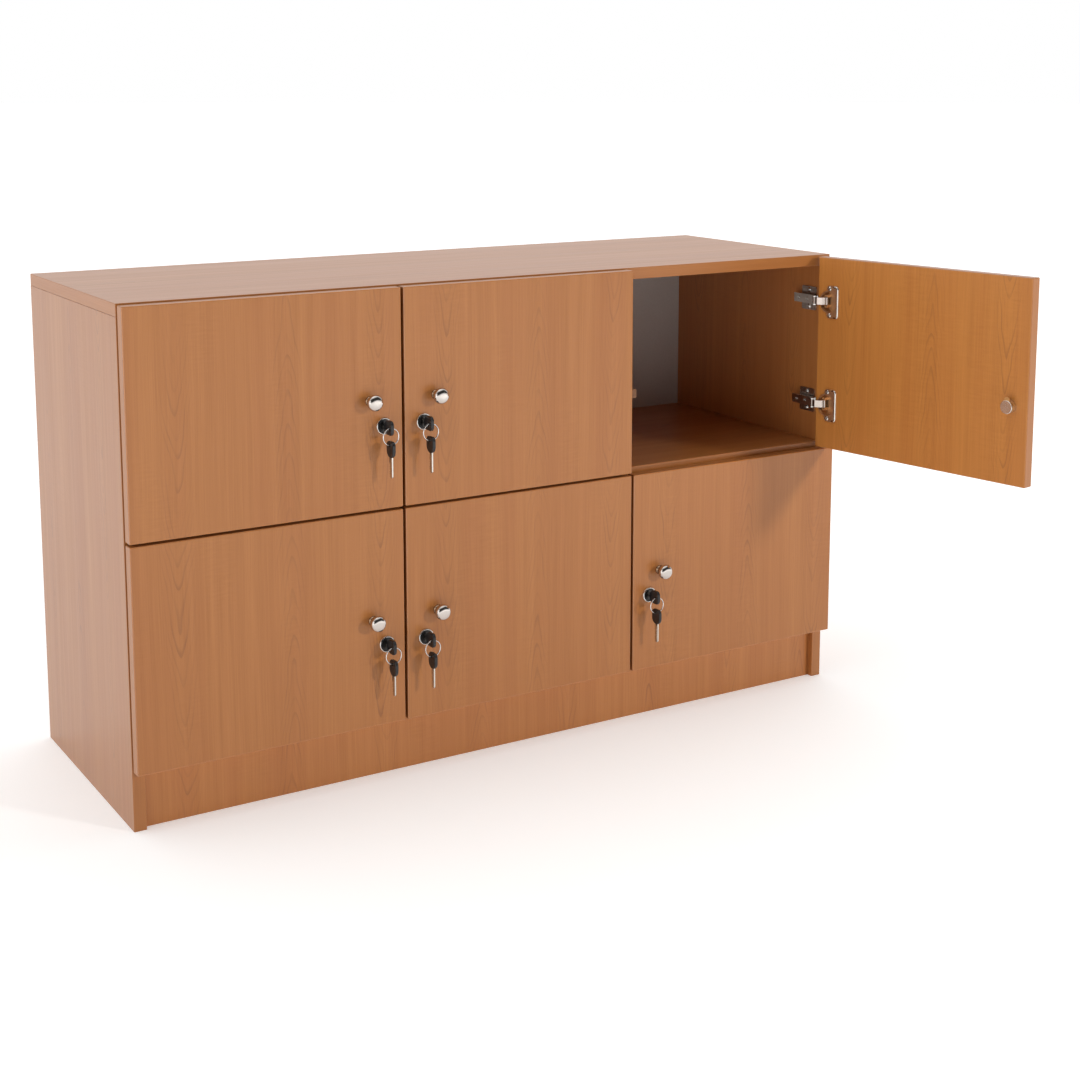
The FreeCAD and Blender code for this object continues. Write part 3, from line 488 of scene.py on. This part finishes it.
top = laminate("laminate_top", 1, 0, (CARC_Y, -0.6), 181.0, ((0.09, -1, 0.3), (0.225, 1, 0.6), (0.34, -1, 0.9)))
dress("top_panel", [top, band_level, band_deep], lambda n, c: 0 if abs(n.z) > 0.80 else (1 if abs(n.y) > abs(n.x) else 2))
bottom = laminate("laminate_bottom", 1, 0, (CARC_Y, -0.582), 211.0, ((0.12, -1, 0.1), (0.26, 1, 0.5)))
dress("bottom_panel", [bottom, band_level], lambda n, c: 0 if abs(n.z) > 0.80 else 1)
shelf = laminate("laminate_shelf", 1, 0, (CARC_Y, -0.582), 241.0, ((0.10, -1, 0.4), (0.24, 1, 0.8)))
dress("middle_shelves", [shelf, band_level], lambda n, c: 0 if abs(n.z) > 0.80 else 1)
divider = laminate("laminate_divider", 1, 2, (CARC_Y, 0.098), 271.0, ((0.10, -1, 0.7), (0.23, 1, 0.2), (0.35, -1, 0.5)))
dress("dividers", [divider, band_side], lambda n, c: 0 if abs(n.x) > 0.80 else 1)
plinth_figs = tuple((0.06 + 0.155 * k, 1 if k % 2 else -1, 0.31 * k) for k in range(8))
# painted light: the plinth laminate is made 1.10 times paler
plinth = laminate("laminate_plinth", 0, 2, (-0.582, 0.0), 301.0, plinth_figs, gain=1.10)
dress("plinth_rails", [plinth, CHIP], lambda n, c: 0 if abs(n.y) > 0.80 else 1)
dress("back_panel", [GREY_BOARD, RAW_BOARD], lambda n, c: 0 if n.y < -0.5 else 1)
dress("dowels", [BEECH], lambda n, c: 0)
dress("hinge_arms", [BRIGHT], lambda n, c: 0)
dress("hinge_plates", [NICKEL], lambda n, c: 0)

LOCK_X = {"l": -0.2285, "m": -0.1655, "r": 0.2285}
LOCK_Z = {"u": 0.52375, "l": 0.20575}
HOLE_Y = -0.0623            # hole of the key in the lock
DOOR_FRONT = -0.0395


def strike_choice(n, c):
    zl = LOCK_Z["u"] if c.z > 0.4 else LOCK_Z["l"]
    near = min(math.hypot(c.y + 0.005, c.z - zl - dz) for dz in (-0.007, 0.007))
    return 1 if near < 0.0036 else 0


dress("strike_plates", [BROWN, ZINC], strike_choice)

for tag in TAGS:
    lx, lz = LOCK_X[tag[1]], LOCK_Z[tag[0]]
    back = FROM_OPEN if tag == OPEN_TAG else Matrix.Identity(4)
    back3 = back.to_3x3()

    def housing_choice(n, c, back=back, lx=lx, lz=lz):
        q = back @ c
        r = math.hypot(q.x - lx, q.z - lz)
        return 1 if r < 0.0099 and q.y < DOOR_FRONT and q.y > DOOR_FRONT - 0.0012 else 0

    def plug_choice(n, c, back=back):
        y = (back @ c).y
        return 2 if y > -0.0114 else (1 if y > -0.0134 else 0)

    def key_choice(n, c, back=back):
        return 1 if (back @ c).y - HOLE_Y > 0.01805 else 0

    def spare_choice(n, c, back=back, lx=lx, lz=lz):
        q = back @ c
        ring = math.hypot(math.hypot(q.x - lx, q.z - lz + 0.012) - 0.012, q.y - HOLE_Y)
        if ring < 0.0009:
            return 2
        return 1 if q.z < lz - 0.024 - 0.01805 else 0

    def cup_choice(n, c, back=back):
        # bright rolled rim and screw heads; the flange and cup behind them get a brown metal as painted reflection of
        # the wood
        return 0 if (back @ c).y > CARC_Y - 0.00125 else 1

    def knob_choice(n, c, back=back):
        # painted reflection: the neck and foot under the polished head get a dark brown metal standing for the door's
        # wood reflected in them
        return 1 if (back @ c).y > DOOR_FRONT - 0.0072 else 0

    dress("hinge_cups_" + tag, [BRIGHT, CUP_PAINTED_REFLECTION], cup_choice)
    dress("hinge_links_" + tag, [LINK], lambda n, c: 0)
    dress("knob_" + tag, [KNOB, NECK_PAINTED_REFLECTION], knob_choice)
    dress("lock_housing_" + tag, [ROSETTE, RECESS], housing_choice)
    dress("lock_plug_" + tag, [PLUG, YELLOW, BRIGHT], plug_choice)
    dress("key_" + tag, [BOW, BLADE], key_choice)
    dress("spare_key_" + tag, [BOW, BLADE, RING], spare_choice)

# ------------------------------------------------------------------ nails of the back panel
bm = bmesh.new()
spots = []
for k in range(11):
    x = -0.575 + 1.15 * k / 10.0
    spots += [(x, 0.706), (x, 0.089)]
for k in range(1, 6):
    z = 0.089 + 0.617 * k / 6.0
    spots += [(-0.586, z), (0.586, z), (-0.197, z), (0.197, z)]
PROFILE = ((0.0030, 0.0), (0.0030, 0.00025), (0.0026, 0.00055), (0.0016, 0.00075))
for x, z in spots:
    rings = []
    for r, h in PROFILE:
        rings.append([bm.verts.new((x + r * math.cos(t * math.pi / 8), 0.380 + h, z + r * math.sin(t * math.pi / 8))) for t in range(16)])
    for a, b in zip(rings, rings[1:]):
        for t in range(16):
            bm.faces.new((a[t], b[t], b[(t + 1) % 16], a[(t + 1) % 16]))
    bm.faces.new(rings[-1][::-1])
    bm.faces.new(rings[0])
bmesh.ops.recalc_face_normals(bm, faces=bm.faces)
me = bpy.data.meshes.new("back_nails")
bm.to_mesh(me)
bm.free()
for p in me.polygons:
    p.use_smooth = len(p.vertices) == 4
nails = bpy.data.objects.new("back_nails", me)
scene.collection.objects.link(nails)
me.materials.append(ZINC)
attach(nails, "cabinet")

# ------------------------------------------------------------------ floor
bm = bmesh.new()
bmesh.ops.create_circle(bm, cap_ends=True, radius=60.0, segments=96)
me = bpy.data.meshes.new("floor")
bm.to_mesh(me)
bm.free()
floor = bpy.data.objects.new("floor", me)
scene.collection.objects.link(floor)
fm, fb, fg = principled("floor_pale_glowing")
fx, fy, fz = fg.object_xyz()
fn = fg.noise(fg.vec(fg.mul(fx, 3.0), fg.mul(fy, 3.0), 0.0), 1.0, 3.0, 0.5)
fg.put(fb.inputs["Base Color"], fg.mix(fn, rgb(0.90, 0.90, 0.895), rgb(0.88, 0.88, 0.875)))
fb.inputs["Roughness"].default_value = 0.8
# painted light: the floor glows, at 0.66 of GLOW within 0.7 m of the origin rising to full GLOW from 2.8 m, and this
# glow also lights the cabinet from below
fb.inputs["Emission Color"].default_value = (1.0, 1.0, 1.0, 1.0)
far = fg.math("SQRT", fg.add(fg.mul(fx, fx), fg.mul(fy, fy)))
fg.put(fb.inputs["Emission Strength"], fg.smooth(far, 0.7, 2.8, 0.66 * GLOW, GLOW))
me.materials.append(fm)
